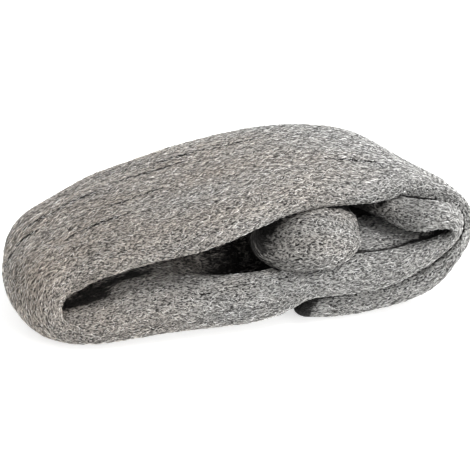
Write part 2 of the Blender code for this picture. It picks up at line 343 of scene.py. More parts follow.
def cubic(t, start, start_slope, end, end_slope):
    """The cubic that goes from start to end while t goes from 0 to 1, with a given slope at each."""
    return (
        (2 * t**3 - 3 * t**2 + 1) * start
        + (t**3 - 2 * t**2 + t) * start_slope
        + (3 * t**2 - 2 * t**3) * end
        + (t**3 - t**2) * end_slope
    )


def eased(points, count):
    """Points on a smooth curve through the given ones, a cubic whose slopes come from the neighbours.

    They lie closer together where the curve turns.
    """
    steps = np.linalg.norm(np.diff(points[:, :2], axis=0), axis=1)
    at = np.concatenate([[0.0], np.cumsum(steps)])
    slopes = np.empty_like(points)
    slopes[1:-1] = (points[2:] - points[:-2]) / (at[2:] - at[:-2])[:, None]
    slopes[0] = (points[1] - points[0]) / steps[0]
    slopes[-1] = (points[-1] - points[-2]) / steps[-1]

    def curve(where):
        """The curve's points at some ways along it."""
        i = np.clip(np.searchsorted(at, where, side="right") - 1, 0, len(steps) - 1)
        span = steps[i][:, None]
        t = (where - at[i])[:, None] / span
        return cubic(t, points[i], span * slopes[i], points[i + 1], span * slopes[i + 1])

    fine = np.linspace(0.0, at[-1], CURVE_STEPS * count)
    leg = np.diff(curve(fine)[:, :2], axis=0)
    heading = np.unwrap(np.arctan2(leg[:, 1], leg[:, 0]))
    turning = np.abs(np.diff(heading, prepend=heading[0]))
    travel = np.cumsum(np.concatenate([[0.0], np.linalg.norm(leg, axis=1) + TURN_SPACING * turning]))
    spaced = curve(np.interp(np.linspace(0.0, travel[-1], count), travel, fine))
    for _ in range(SMOOTHING):
        spaced[1:-1] = (spaced[:-2] + 2 * spaced[1:-1] + spaced[2:]) / 4
    return spaced


def finer(rows, times):
    """The same curve with more points: between two rows it is the cubic that its neighbours' slopes give."""
    slopes = np.gradient(rows, axis=0)
    at = np.linspace(0, len(rows) - 1, (len(rows) - 1) * times + 1)
    i = np.minimum(at.astype(int), len(rows) - 2)
    return cubic((at - i)[:, None], rows[i], slopes[i], rows[i + 1], slopes[i + 1])


def settled(points):
    """The bundle rounded off in plan at its ends, squashed towards its edges and twisted at its right end.

    With y's share of the half width to a power as the spread, x shrinks by the rounding times the spread and
    z by the squash times the spread. At the right end z then falls in proportion to y.
    """
    x, y, z = np.moveaxis(points, -1, 0)
    half_strip = STRIP_WIDTH / 2
    spread = (np.abs(y) / half_strip) ** DROOP_POWER
    squash = np.where(y < 0, FRONT_SQUASH, BACK_SQUASH)
    twisted = smooth((RIGHT_END - TWIST_START, RIGHT_END - TWIST_END), x) * smooth((0, TWIST_HEIGHT), z)
    rounding = np.where(x < 0, LEFT_ROUNDING, RIGHT_ROUNDING)
    sunk = z * (1 - squash * spread) - RIGHT_TWIST * twisted * y / half_strip
    return np.stack([x * (1 - rounding * spread), y, sunk], axis=-1)


def batt_surface():
    """The loft as a grid of points, along the batt and round its section, and the same batt straightened.

    A section is two arcs, round at the edges and flat between: with a point's place across the strip from -1
    to 1, it lies (1 - |across|^square)^(1/roundness) half thicknesses off the mid-line. At the two ends of the
    batt the sections shrink along a quarter of a circle. The straightened batt gives for each point its way
    along the batt, across it and through it.
    """
    route = finer(eased(np.array([astuple(station) for station in stations()]), ROUTE_SECTIONS), FINER)
    x, z, thick, front, back, droop, fill, swell, dish, puff, crease, square = (c[:, None] for c in route.T)
    run = np.gradient(route[:, :2], axis=0)
    run /= np.linalg.norm(run, axis=1)[:, None]
    outward_x, outward_z = run[:, 1:], -run[:, :1]

    round_angle = np.linspace(0.0, 2 * math.pi, AROUND, endpoint=False)
    across = np.cos(round_angle)[None]
    side = np.sign(np.sin(round_angle).round(9))[None]
    rise = np.maximum(1 - np.abs(across) ** square, 0) ** (1 / EDGE_ROUNDNESS)

    steps = np.linalg.norm(np.diff(route[:, :2], axis=0), axis=1)
    travel = np.concatenate([[0.0], np.cumsum(steps)])[:, None]
    from_end = np.minimum(travel / END_ROUNDING, (travel[-1] - travel) / WAD_ROUNDING)
    taper = np.sqrt(1 - (1 - np.clip(from_end, END_BLUNTNESS, 1)) ** 2)

    inner_gain = WAD_SWELL * swell * smooth(SWELL_ACROSS, across)
    outer_gain = EDGE_PUFF * puff * smooth(PUFF_ACROSS, across)
    pocket = POCKET_DEPTH * dish * smooth(POCKET_FRONT_ACROSS, across) * smooth(POCKET_BACK_ACROSS, across)
    groove = CREASE_DEPTH * crease * np.exp(-(((across - CREASE_ACROSS) / CREASE_WIDTH) ** 2))
    cut = np.where(side < 0, pocket - fill * smooth(FILL_ACROSS, across), groove)
    hang = np.where(across < 0, droop, 0) * np.abs(across) ** DROOP_POWER
    half = 0.5 * (thick + inner_gain + outer_gain) - cut
    through = side * half * rise * taper
    offset = through - hang - 0.5 * (inner_gain - outer_gain)

    narrowing = np.where(travel < travel[-1] / 2, END_NARROWING, WAD_NARROWING)
    half_width = STRIP_WIDTH / 2 - (front + back) / 2 - (1 - taper) * narrowing
    points = np.empty(offset.shape + (3,))
    points[..., 0] = x + offset * outward_x
    points[..., 1] = (front - back) / 2 + half_width * across
    points[..., 2] = z + offset * outward_z
    straight = np.stack(np.broadcast_arrays(travel, half_width * across, through), axis=-1)
    return settled(points), straight


def unit(vectors):
    """The vectors at a length of 1."""
    return vectors / (np.linalg.norm(vectors, axis=-1, keepdims=True) + 1e-12)


def normals_of(points):
    """The outward normals of a grid that closes on itself round its sections: its two slopes, crossed."""
    along = np.gradient(points, axis=0)
    around = np.roll(points, -1, axis=1) - np.roll(points, 1, axis=1)
    return unit(np.cross(along, around))


WAVES = 40
WAVE_PER_LUMP = 2.6


def patchy(random, straight, sizes):
    """Soft random lumps of about the given lengths along, across and through the straightened batt.

    It is a sum of sine waves whose directions and phases are drawn at random.
    """
    directions = random.normal(size=(WAVES, 3)) * 2 * math.pi / (np.array(sizes) * WAVE_PER_LUMP)
    phases = random.uniform(0, 2 * math.pi, WAVES)
    total = np.zeros(straight.shape[:2])
    for direction, phase in zip(directions, phases):
        total += np.sin(straight @ direction + phase)
    return total / math.sqrt(WAVES / 2)


def mesh_of(name, points, triangles, smooth_faces=True):
    """A mesh made from arrays of points and of triangles."""
    mesh = bpy.data.meshes.new(name)
    mesh.vertices.add(len(points))
    mesh.vertices.foreach_set("co", points.astype(np.float32).ravel())
    mesh.loops.add(triangles.size)
    mesh.loops.foreach_set("vertex_index", triangles.astype(np.int32).ravel())
    mesh.polygons.add(len(triangles))
    mesh.polygons.foreach_set("loop_start", np.arange(0, triangles.size, 3, dtype=np.int32))
    mesh.polygons.foreach_set("use_smooth", np.full(len(triangles), smooth_faces))
    mesh.update(calc_edges=True)
    mesh.validate()
    return mesh


def give(mesh, name, values):
    """Stores a number or a vector for each point of a mesh."""
    kind = "FLOAT" if values.ndim == 1 else "FLOAT_VECTOR"
    store = mesh.attributes.new(name, kind, "POINT")
    store.data.foreach_set("value" if kind == "FLOAT" else "vector", values.astype(np.float32).ravel())


def tube_faces(rows, columns):
    """Triangles of a closed tube of points: its wall, and a fan over each end from one more point.

    They face outwards where the points go round anticlockwise, seen along the tube.
    """
    i, j = np.meshgrid(np.arange(rows - 1), np.arange(columns), indexing="ij")
    here, there = i * columns + j, (i + 1) * columns + j
    next_here, next_there = i * columns + (j + 1) % columns, (i + 1) * columns + (j + 1) % columns
    wall = np.concatenate([
        np.stack([there, next_here, here], axis=-1).reshape(-1, 3),
        np.stack([there, next_there, next_here], axis=-1).reshape(-1, 3),
    ])
    rim = np.arange(columns)
    next_rim = (rim + 1) % columns
    last_row = (rows - 1) * columns
    first_fan = np.stack([rim, next_rim, np.full(columns, rows * columns)], axis=-1)
    last_fan = np.stack([last_row + next_rim, last_row + rim, np.full(columns, rows * columns + 1)], axis=-1)
    return np.concatenate([wall, first_fan, last_fan])


def closed_tube(grid):
    """A grid of points as a closed mesh: its points, one more in the middle of each end, and triangles."""
    ends = np.stack([grid[0].mean(axis=0), grid[-1].mean(axis=0)])
    return np.concatenate([grid.reshape(-1, 3), ends]), tube_faces(*grid.shape[:2])


class Socket:
    """A value in a material, on which sums are written as on numbers."""

    def __init__(self, finish, output):
        self.finish = finish
        self.output = output

    def _sum(self, operation, first, second):
        """One sum on two values."""
        return self.finish.node("ShaderNodeMath", {"operation": operation}, {0: first, 1: second})

    def __add__(self, other):
        return self._sum("ADD", self, other)

    def __sub__(self, other):
        return self._sum("SUBTRACT", self, other)

    def __rsub__(self, other):
        return self._sum("SUBTRACT", other, self)

    def __mul__(self, other):
        return self._sum("MULTIPLY", self, other)

    def __abs__(self):
        return self._sum("ABSOLUTE", self, 0.0)

    __radd__ = __add__
    __rmul__ = __mul__


class Nodes:
    """The nodes of a material or of the world, added one call at a time."""

    def __init__(self, owner, shader):
        owner.use_nodes = True
        self.tree = owner.node_tree
        self.shader = self.tree.nodes[shader]

    def node(self, kind, settings=None, inputs=None, output=0):
        """A node of a type, with its settings and then the values or links of its sockets."""
        made = self.tree.nodes.new(kind)
        for name, value in (settings or {}).items():
            setattr(made, name, value)
        for socket, value in (inputs or {}).items():
            if isinstance(value, Socket):
                self.tree.links.new(value.output, made.inputs[socket])
            else:
                made.inputs[socket].default_value = value
        return Socket(self, made.outputs[output])

    def set(self, socket, value):
        """Links a value to a socket of the shader."""
        self.tree.links.new(value.output, self.shader.inputs[socket])

    def stored(self, name, output):
        """A number or a vector that the mesh holds for each of its points."""
        return self.node("ShaderNodeAttribute", {"attribute_name": name}, output=output)

    def noise(self, vector, waves, detail=2.0):
        """Noise with about the given numbers of waves to a metre along, across and through the batt."""
        stretched = self.node("ShaderNodeVectorMath", {"operation": "MULTIPLY"}, {0: vector, 1: waves})
        return self.node("ShaderNodeTexNoise", {}, {"Vector": stretched, "Scale": 1.0, "Detail": detail})

    def lines(self, vector, waves, width):
        """Thin curling lines: 1 where the noise passes its middle value, and 0 a width away from that."""
        level = self.noise(vector, waves, detail=1)
        return self.between(abs(level - 0.5), width, 0.0)

    def between(self, value, low, high):
        """0 at the low mark, 1 at the high one, and a straight change between. Either may be the larger."""
        return self.node("ShaderNodeMapRange", {}, {"Value": value, "From Min": low, "From Max": high})

    def mixed(self, share, first, second):
        """A blend of two colours: the first where the share is 0 and the second where it is 1."""
        return self.node("ShaderNodeMix", {"data_type": "RGBA"}, {0: share, 6: first, 7: second}, output=2)

    def dimmed(self, colour, share):
        """A colour times a value."""
        grey = self.node("ShaderNodeCombineXYZ", {}, {"X": share, "Y": share, "Z": share})
        settings = {"data_type": "RGBA", "blend_type": "MULTIPLY"}
        return self.node("ShaderNodeMix", settings, {0: 1.0, 6: colour, 7: grey}, output=2)


class Finish(Nodes):
    """A material with a Principled shader."""

    def __init__(self, name, **constants):
        self.material = bpy.data.materials.new(name)
        super().__init__(self.material, "Principled BSDF")
        for socket, value in constants.items():
            self.shader.inputs[socket.replace("_", " ")].default_value = value


# The relief of the skin: how high its lumps, tufts and streaks stand, and how long they are along, across and
# through the batt.
FUZZ = 0.3 * MM
LUMP_HEIGHT = 0.1 * MM
LUMP_SIZES = (30 * MM, 12 * MM, 12 * MM)
TUFT_HEIGHT = 0.06 * MM
TUFT_SIZES = (6 * MM, 3 * MM, 3 * MM)
STREAK_HEIGHT = 0.08 * MM
STREAK_SIZES = (90 * MM, 3 * MM, 6 * MM)
RELIEF_SEED = 7

# Partings in the wool with painted shade along them, each with the way along the batt where it starts and
# ends, its place across the strip from -1 at the front edge to 1 at the back one, its side, and its width and
# depth.
# The last number is the share of the light that it takes from the colour: painted shade in the crease. On the
# wall of the hole beside the wad it is below 0 and the depth is 0, so that row is only painted light.
PARTING_FADE = 0.2
PARTING_WANDER = 0.6 * MM
PARTING_BEND = 6 * MM
PARTINGS_WITH_PAINTED_SHADE = (
    (508 * MM, 578 * MM, -0.77, -1, 2.0 * MM, 1.2 * MM, 0.96),
    (360 * MM, 398 * MM, -0.68, -1, 3.4 * MM, 0.8 * MM, 0.97),
    (374 * MM, 420 * MM, -0.58, -1, 2.2 * MM, 0.4 * MM, 0.85),
    (522 * MM, 572 * MM, -0.45, -1, 12.0 * MM, 0.0 * MM, -1.1),
)

# Fine seams and streaks between tufts, each with the way along the batt where it starts and ends, its place
# across the strip, its side, and its width.
STREAKS = (
    (290 * MM, 340 * MM, 11.0 * MM, 1, 1.7 * MM),
    (326 * MM, 356 * MM, 1.0 * MM, 1, 1.7 * MM),
    (226 * MM, 268 * MM, 20.0 * MM, 1, 1.5 * MM),
    (200 * MM, 236 * MM, 16.0 * MM, 1, 1.2 * MM),
    (246 * MM, 286 * MM, 12.0 * MM, 1, 1.2 * MM),
    (150 * MM, 186 * MM, -17.0 * MM, 1, 1.2 * MM),
    (262 * MM, 298 * MM, -8.0 * MM, 1, 1.1 * MM),
    (280 * MM, 318 * MM, -20.0 * MM, 1, 1.1 * MM),
)
STREAK_WANDER = 6 * MM


def parting(straight, start, end, across, side, width):
    """1 along the middle of a parting and 0 away from it: a bell across it, and a smooth fade at its ends."""
    along, sideways, through = np.moveaxis(straight, -1, 0)
    fade = PARTING_FADE * (end - start)
    length = smooth((start, start + fade), along) * smooth((end, end - fade), along)
    half_width = np.abs(sideways).max(axis=1, keepdims=True)
    wander = PARTING_WANDER * np.sin(along / PARTING_BEND)
    off = sideways + wander - across * half_width
    return length * np.exp(-((off / width) ** 2)) * (np.sign(through) == side)


# Rays are cast from every sixth row and second column of the skin only.
COARSE = (6, 2)
TOUCH_REACH = 7 * MM
TOUCH_START = 0.3 * MM
TOUCH_FADE = (3 * MM, 6 * MM)


def spread_over(coarse, shape):
    """A coarse grid's values on the full grid, straight between its points and closed round the section.

    The last row is kept just out of reach, so that each row has a next one.
    """
    u = np.minimum(np.arange(shape[0]) / COARSE[0], coarse.shape[0] - 1.001)
    v = np.arange(shape[1]) / COARSE[1]
    i, j = u.astype(int), v.astype(int)
    fu, fv = (u - i)[:, None], (v - j)[None]
    j_next = (j + 1) % coarse.shape[1]
    low = coarse[i][:, j] * (1 - fv) + coarse[i][:, j_next] * fv
    high = coarse[i + 1][:, j] * (1 - fv) + coarse[i + 1][:, j_next] * fv
    return low * (1 - fu) + high * fu


def touching(grid, normals):
    """How far each place of the skin swells to meet the layer that lies over it: half of a narrow gap."""
    points, triangles = closed_tube(grid)
    layers = BVHTree.FromPolygons([Vector(p) for p in points], triangles.tolist())
    gap = np.full(grid.shape[:2], TOUCH_REACH)
    for i in range(gap.shape[0]):
        for j in range(gap.shape[1]):
            up = Vector(normals[i, j])
            start = Vector(grid[i, j]) + up * TOUCH_START
            gap[i, j] = layers.ray_cast(start, up, TOUCH_REACH)[3] or TOUCH_REACH
    swelling = 0.5 * gap * (1 - smooth(TOUCH_FADE, gap))

    # Evened out twice along the batt and once round it.
    for axis in (0, 0, 1):
        ahead, behind = np.roll(swelling, 1, axis=axis), np.roll(swelling, -1, axis=axis)
        swelling = (ahead + 2 * swelling + behind) / 4
    return swelling


# The skin is the loft, set on the bench, swollen where its layers nearly touch, and given its relief.
random = np.random.default_rng(RELIEF_SEED)
skin, straight = batt_surface()
middle = (skin.min(axis=(0, 1)) + skin.max(axis=(0, 1))) / 2
middle[2] = skin[..., 2].min() + BENCH_GIVE
skin -= middle
skin_normals = normals_of(skin)
coarse_normals = skin_normals[:: COARSE[0], :: COARSE[1]]
swelling = touching(skin[:: COARSE[0], :: COARSE[1]], coarse_normals)
relief = LUMP_HEIGHT * patchy(random, straight, LUMP_SIZES)
relief += TUFT_HEIGHT * patchy(random, straight, TUFT_SIZES)
relief += STREAK_HEIGHT * patchy(random, straight, STREAK_SIZES)
relief += FUZZ + spread_over(swelling, relief.shape)
# shade is painted shade: it darkens the colour along the partings, and lightens it where the share is below 0.
shade = np.ones(relief.shape)
for start, end, across, side, width, depth, painted_shade_share in PARTINGS_WITH_PAINTED_SHADE:
    bell = parting(straight, start, end, across, side, width)
    relief -= depth * bell
    shade *= 1 - painted_shade_share * bell
skin = skin + relief[..., None] * skin_normals
skin[..., 2] = np.maximum(skin[..., 2], 0)
rows, columns = skin.shape[:2]

body_points, body_triangles = closed_tube(skin)

LIGHT_RAYS = 14
LIGHT_REACH = 60 * MM
LIGHT_START = 1.2 * MM
# How far the painted shade on the cut end reaches, and how steeply it fades.
CUT_PAINTED_SHADE_LENGTH = 15 * MM
CUT_POWER = 2.5
# Where the painted shade over the fold and the left of the wad rises and falls, and how dark it gets.
FOLD_RISE = (600 * MM, 640 * MM)
FOLD_FALL = (722 * MM, 686 * MM)
FOLD_PAINTED_SHADE = 0.92


def open_to_light(points, triangles, places, normals):
    """How open each place is to the light: the share of rays that leave it without meeting the wool again.

    The rays fan out over a dome on the place. Each is a step higher than the last and a golden angle further
    round.
    """
    wool = BVHTree.FromPolygons([Vector(p) for p in points], triangles.tolist())
    turned_by = math.pi * (3 - math.sqrt(5)) * np.arange(LIGHT_RAYS)
    heights = (np.arange(LIGHT_RAYS) + 0.5) / LIGHT_RAYS
    spokes = np.sqrt(1 - heights**2)
    dome = np.stack([spokes * np.cos(turned_by), spokes * np.sin(turned_by), heights], axis=1)
    share = np.zeros(places.shape[:2])
    for i in range(share.shape[0]):
        for j in range(share.shape[1]):
            up = Vector(normals[i, j])
            start = Vector(places[i, j]) + up * LIGHT_START
            turned = up.to_track_quat("Z", "X")
            free = sum(wool.ray_cast(start, turned @ Vector(ray), LIGHT_REACH)[0] is None for ray in dome)
            share[i, j] = free / LIGHT_RAYS
    return share


# The openness goes into the colour in the materials below: painted shade in hollows, creases and the mouth.
open_share = open_to_light(body_points, body_triangles, skin[:: COARSE[0], :: COARSE[1]], coarse_normals)
openness = spread_over(open_share, (rows, columns)) * shade

# Painted shade on the cut end, which lies in shadow under the base: its colour darkens towards the end.
along_batt = straight[..., 0]
openness = openness * np.minimum(along_batt / CUT_PAINTED_SHADE_LENGTH, 1) ** CUT_POWER

# Painted shade: the fold lies deep in the mouth, and the colour is darkened over the left of the wad, where
# the light fades out.
openness = openness * (1 - FOLD_PAINTED_SHADE * smooth(FOLD_FALL, along_batt) * smooth(FOLD_RISE, along_batt))

STRIPS = 3
STRIP_MARGIN = 0.02
END_PATCH = 0.001


def bake_map(mesh, places):
    """A map for the baked finish, with a place for each corner of each triangle."""
    layer_map = mesh.uv_layers.new(name="OFBake")
    layer_map.data.foreach_set("uv", places.astype(np.float32).ravel())


def body_map(triangles):
    """The body's map: the batt straightened and cut into strips that lie side by side, with margins between.

    A corner's place is its row's share of the strip and its column's share of the way round. The two closed
    ends are too small to be seen and share a tiny patch.
    """
    wall_rows = np.tile(np.repeat(np.arange(rows - 1), columns), 2)
    face_rows = np.concatenate([wall_rows, np.full(2 * columns, -1)])
    corner_row, corner_column = triangles // columns, triangles % columns
    wraps = corner_column.max(axis=1) - corner_column.min(axis=1) > 2
    corner_column = np.where(wraps[:, None] & (corner_column < 2), corner_column + columns, corner_column)
    strip = np.clip(face_rows * STRIPS // (rows - 1), 0, STRIPS - 1)[:, None]
    rows_each = (rows - 1) / STRIPS
    way = np.clip(corner_row - strip * rows_each, 0, rows_each) / rows_each
    round_share = STRIP_MARGIN + (1 - 2 * STRIP_MARGIN) * corner_column / (columns + 1)
    places = np.stack([way, (strip + round_share) / STRIPS], axis=-1)
    end_faces = face_rows < 0
    at_end = corner_row[end_faces][..., None] >= rows
    places[end_faces] = np.where(at_end, END_PATCH / 2, places[end_faces] * END_PATCH)
    return places.reshape(-1, 2)


body_mesh = mesh_of("wool_body", body_points, body_triangles)
ends_straight = np.array([straight[0].mean(axis=0), straight[-1].mean(axis=0)])
give(body_mesh, "lay", np.concatenate([straight.reshape(-1, 3), ends_straight]))
give(body_mesh, "open", np.concatenate([openness.ravel(), openness[[0, -1], 0]]))
bake_map(body_mesh, body_map(body_triangles))

GREY_WOOL = (0.47, 0.465, 0.45, 1)
WARM_WOOL = (0.50, 0.435, 0.375, 1)
DARK_GAPS_AND_PAINTED_SHADE = (0.010, 0.0095, 0.009, 1)

# The patterns in the wool, each with its numbers of waves to a metre along, across and through the batt.
AGED_WAVES = (14, 45, 45)
WANDER_WAVES = (70, 70, 70)
GRAIN_WAVES = (620, 1700, 1700)
LYING_WAVES = (110, 1200, 1200)
CROSSED_WAVES = (220, 1100, 1100)
GAP_WAVES = (18, 480, 480)
TUFT_WAVES = (24, 230, 230)
FRAY_WAVES = (260, 700, 700)

AGED_PATCHES = 0.9
AGED_TO_LEFT = 3.2
AGED_TO_TOP = 3.0
AGED_RANGE = (0.42, 1.05)
LINE_WIDTH = 0.05
CROSSING_ANGLES = (0.5, -0.35)
STREAK_FADE = 0.6
STREAK_SIDE = 1 * MM
STREAK_DARKNESS = 1.7
PAINTED_GLINT_CONTRAST = 0.9
PAINTED_SHADE_FRAYING = 0.3
BUMP_HEIGHT = 0.7 * MM


def wool_tint(finish, lay):
    """The grey of the wool, browner in long patches and to the left, where the oil on it has aged."""
    patches = finish.noise(lay, AGED_WAVES)
    place = finish.node("ShaderNodeTexCoord", output="Object")
    x = finish.node("ShaderNodeSeparateXYZ", {}, {0: place}, output="X")
    z = finish.node("ShaderNodeSeparateXYZ", {}, {0: place}, output="Z")
    aged = finish.between(patches * AGED_PATCHES - x * AGED_TO_LEFT + z * AGED_TO_TOP, *AGED_RANGE)
    return finish.mixed(aged, GREY_WOOL, WARM_WOOL)


def streaks_of(finish, lay):
    """1 in the streaks of the table and 0 elsewhere: thin bands that wander, and fade at each end."""
    along, across, through = (
        finish.node("ShaderNodeSeparateXYZ", {}, {0: lay}, output=axis) for axis in "XYZ"
    )
    wandering = across + (finish.noise(lay, WANDER_WAVES) - 0.5) * STREAK_WANDER
    total = along * 0
    for start, end, place, side, width in STREAKS:
        half_length = (end - start) / 2
        line = finish.between(abs(wandering - place), width, 0)
        off_middle = abs(along - (start + half_length))
        line = line * finish.between(off_middle, half_length, half_length * STREAK_FADE)
        total = total + line * finish.between(through * side, -STREAK_SIDE, STREAK_SIDE)
    return total


def wool_finish():
    """Matted fibres: a fine grain drawn out along the batt and crossing lines, with dark gaps between them.

    Where little light gets in, the tone's contrast grows and the whole goes dark, along a frayed border:
    painted light on the fibres and painted shade, from the stored openness.
    """
    finish = Finish("wool_mass", Metallic=0.25, Roughness=0.62, Specular_IOR_Level=0.2)
    lay = finish.stored("lay", "Vector")
    opening = finish.stored("open", "Fac")
    crossing, other_way = (
        finish.node("ShaderNodeMapping", {}, {"Vector": lay, "Rotation": (0, 0, angle)})
        for angle in CROSSING_ANGLES
    )
    grain = finish.between(finish.noise(lay, GRAIN_WAVES, detail=0), 0.41, 0.59)
    lying = finish.lines(lay, LYING_WAVES, LINE_WIDTH)
    crossed = finish.lines(crossing, CROSSED_WAVES, LINE_WIDTH)
    crossed_back = finish.lines(other_way, CROSSED_WAVES, LINE_WIDTH)
    gaps = finish.between(finish.noise(lay, GAP_WAVES, detail=1), 0.37, 0.3)
    tufts = finish.between(finish.noise(lay, TUFT_WAVES, detail=1), 0.34, 0.66)
    tone = (grain * 0.7 + (lying + crossed + crossed_back) * 0.42) * (0.9 + 0.2 * tufts) - gaps * 0.3
    # Painted light and shade: where the openness is low, bright fibres are made brighter and dull ones darker,
    # like fibres catching light in the shade.
    tone = tone + (tone - 0.2) * (1 - opening) * PAINTED_GLINT_CONTRAST - STREAK_DARKNESS * streaks_of(finish, lay)
    # Painted shade: depth is the lit share, and the colour goes dark where the openness is low, over a border
    # frayed by noise.
    frayed = opening + (finish.noise(lay, FRAY_WAVES, detail=1) - 0.5) * PAINTED_SHADE_FRAYING
    depth = finish.between(frayed, 0.1, 0.3)
    colour = finish.mixed((0.06 + 0.94 * tone) * (0.04 + 0.96 * depth), DARK_GAPS_AND_PAINTED_SHADE, wool_tint(finish, lay))
    finish.set("Base Color", colour)
    bump = finish.node("ShaderNodeBump", {}, {"Strength": 1.0, "Distance": BUMP_HEIGHT, "Height": tone})
    finish.set("Normal", bump)
    return finish.material


body = bpy.data.objects.new("wool_body", body_mesh)
bpy.context.scene.collection.objects.link(body)
body_mesh.materials.append(wool_finish())
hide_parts("wool_batt")
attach(body, "root")


# The surface fibres
# The fibres that lie on the outside of the mass, mostly along the batt as the comb laid them, some across.
# Each is a thin tapering strand that follows the surface and dives back into it at both ends.

PIECES = ("outer_fibres", "left_fibres", "right_fibres", "inner_fibres")
STRANDS_EACH = 11000
STRAND_LENGTH = (1.0 * MM, 4.0 * MM)
STRAND_WIDTH = (0.13 * MM, 0.25 * MM)
STRAND_LIFT = 0.24 * MM
STRAND_DIVE = 6.4
STRAND_SPREAD = 0.6
STRAND_CURL = 0.11
STRAND_WAVE = 0.015
STRAND_TAPER = (0.8, 1.0, 0.8)
STRAND_RINGS = len(STRAND_TAPER)
STRAND_CORNERS = 3
POINTS_EACH = STRAND_CORNERS * STRAND_RINGS + 2
LOWEST_LINE = 0.15 * MM

# A strand is bright or dull, with a tone that varies about the one or the other.
BRIGHT_SHARE = 0.6
BRIGHT_TONE = 2.15
DULL_TONE = 0.15
TONE_SPREAD = 0.3

# Fewer strands lie where little light gets in.
SHADED_WEIGHT = 0.04
WEIGHT_POWER = 1.3
EVEN_STEPS = (0.7548776662, 0.5698402910, 0.6180339887)


def on_grid(grid, u, v):
    """The values of a grid at places between its rows and columns, straight between its points.

    The last row is kept just out of reach, so that each row has a next one.
    """
    u = np.clip(u, 0, grid.shape[0] - 1.001)
    i, j = np.floor(u).astype(int), np.floor(v).astype(int)
    fu, fv = (u - i)[..., None], (v - j)[..., None]
    j, j_next = j % grid.shape[1], (j + 1) % grid.shape[1]
    low = grid[i, j] * (1 - fv) + grid[i, j_next] * fv
    high = grid[i + 1, j] * (1 - fv) + grid[i + 1, j_next] * fv
    return low * (1 - fu) + high * fu


def strands(random, u, v):
    """Strands on the skin, with their middles at rows u and columns v.

    A strand's line runs straight over the unrolled skin at an angle to the batt, with a slight curl, which is
    a parabola with a small wave on it. Its height over the skin is a flat arch that dives at both ends. Its
    section is a triangle that shrinks to a point at each end.
    """
    count = len(u)
    along = np.linspace(-0.5, 0.5, STRAND_RINGS + 2)[None]
    length = random.uniform(*STRAND_LENGTH, count)[:, None]
    angle = (random.normal(size=count) * STRAND_SPREAD)[:, None]
    curl = (random.normal(size=count) * STRAND_CURL)[:, None] * length
    sideways = curl * (4 * along**2 - 0.5) + STRAND_WAVE * length * np.sin(8 * along + angle * 7)
    row_step = np.linalg.norm(on_grid(np.gradient(skin, axis=0), u, v), axis=-1)[:, None]
    column_step = np.linalg.norm(on_grid(np.roll(skin, -1, axis=1) - skin, u, v), axis=-1)[:, None]
    way = length * along
    us = u[:, None] + (way * np.cos(angle) - sideways * np.sin(angle)) / row_step
    vs = v[:, None] + (way * np.sin(angle) + sideways * np.cos(angle)) / column_step
    up = unit(on_grid(skin_normals, us, vs))
    lift = STRAND_LIFT * (random.uniform(0.1, 1.0, count)[:, None] - STRAND_DIVE * np.abs(along) ** 2.5)
    line = on_grid(skin, us, vs) + lift[..., None] * up
    line[..., 2] = np.maximum(line[..., 2], LOWEST_LINE)

    ahead = unit(np.gradient(line, axis=1))
    across = unit(np.cross(ahead, up))
    up = np.cross(across, ahead)
    width = random.uniform(*STRAND_WIDTH, count)[:, None, None, None] / 2
    taper = np.array(STRAND_TAPER)[None, :, None, None]
    turns = math.pi / 2 + np.arange(STRAND_CORNERS) * 2 * math.pi / STRAND_CORNERS
    ring = np.cos(turns)[:, None] * across[:, 1:-1, None] + np.sin(turns)[:, None] * up[:, 1:-1, None]
    ring = line[:, 1:-1, None] + width * taper * ring
    points = np.concatenate([ring.reshape(count, -1, 3), line[:, :1], line[:, -1:]], axis=1)
    return points, on_grid(straight, u, v)


def strand_faces(count):
    """Triangles of strands whose points are three round each ring and then the two tips."""
    one = tube_faces(STRAND_RINGS, STRAND_CORNERS)
    return (one[None] + (np.arange(count) * POINTS_EACH)[:, None, None]).reshape(-1, 3)


def strand_map(count, faces):
    """A map that gives each strand a small square of its own, with a margin round it.

    Over the square goes the way along the strand, and up it goes the way round.
    """
    side = math.ceil(math.sqrt(count))
    margin = 0.1
    strand = faces // POINTS_EACH
    point = faces % POINTS_EACH
    tip = point - STRAND_CORNERS * STRAND_RINGS
    over = np.where(tip < 0, (point // STRAND_CORNERS + 1) / (STRAND_RINGS + 1), tip)
    up = np.where(tip < 0, (point % STRAND_CORNERS) / (STRAND_CORNERS - 1), 0.5)
    corner = np.stack([strand % side, strand // side], axis=-1) + margin
    places = corner + (1 - 2 * margin) * np.stack([over, up], axis=-1)
    return places.reshape(-1, 2) / side


def fibre_finish():
    """Single bright steel fibres, each with a tone of its own from dull to polished."""
    finish = Finish("wool_fibre", Metallic=0.75, Roughness=0.42)
    lay = finish.stored("lay", "Vector")
    tone = finish.stored("tone", "Fac")
    opening = finish.stored("open", "Fac")
    # Painted shade: each strand's colour is dimmed where the openness under it is low.
    depth = finish.between(opening, 0.1, 0.27)
    colour = finish.dimmed(wool_tint(finish, lay), tone * (0.1 + 0.9 * depth))
    finish.set("Base Color", colour)
    return finish.material


fibre_material = fibre_finish()
row_lengths = np.linalg.norm(np.diff(skin, axis=0), axis=-1)
column_lengths = np.linalg.norm(np.roll(skin, -1, axis=1) - skin, axis=-1)[:-1]
cell_weight = row_lengths * column_lengths * (SHADED_WEIGHT + openness[:-1]) ** WEIGHT_POWER

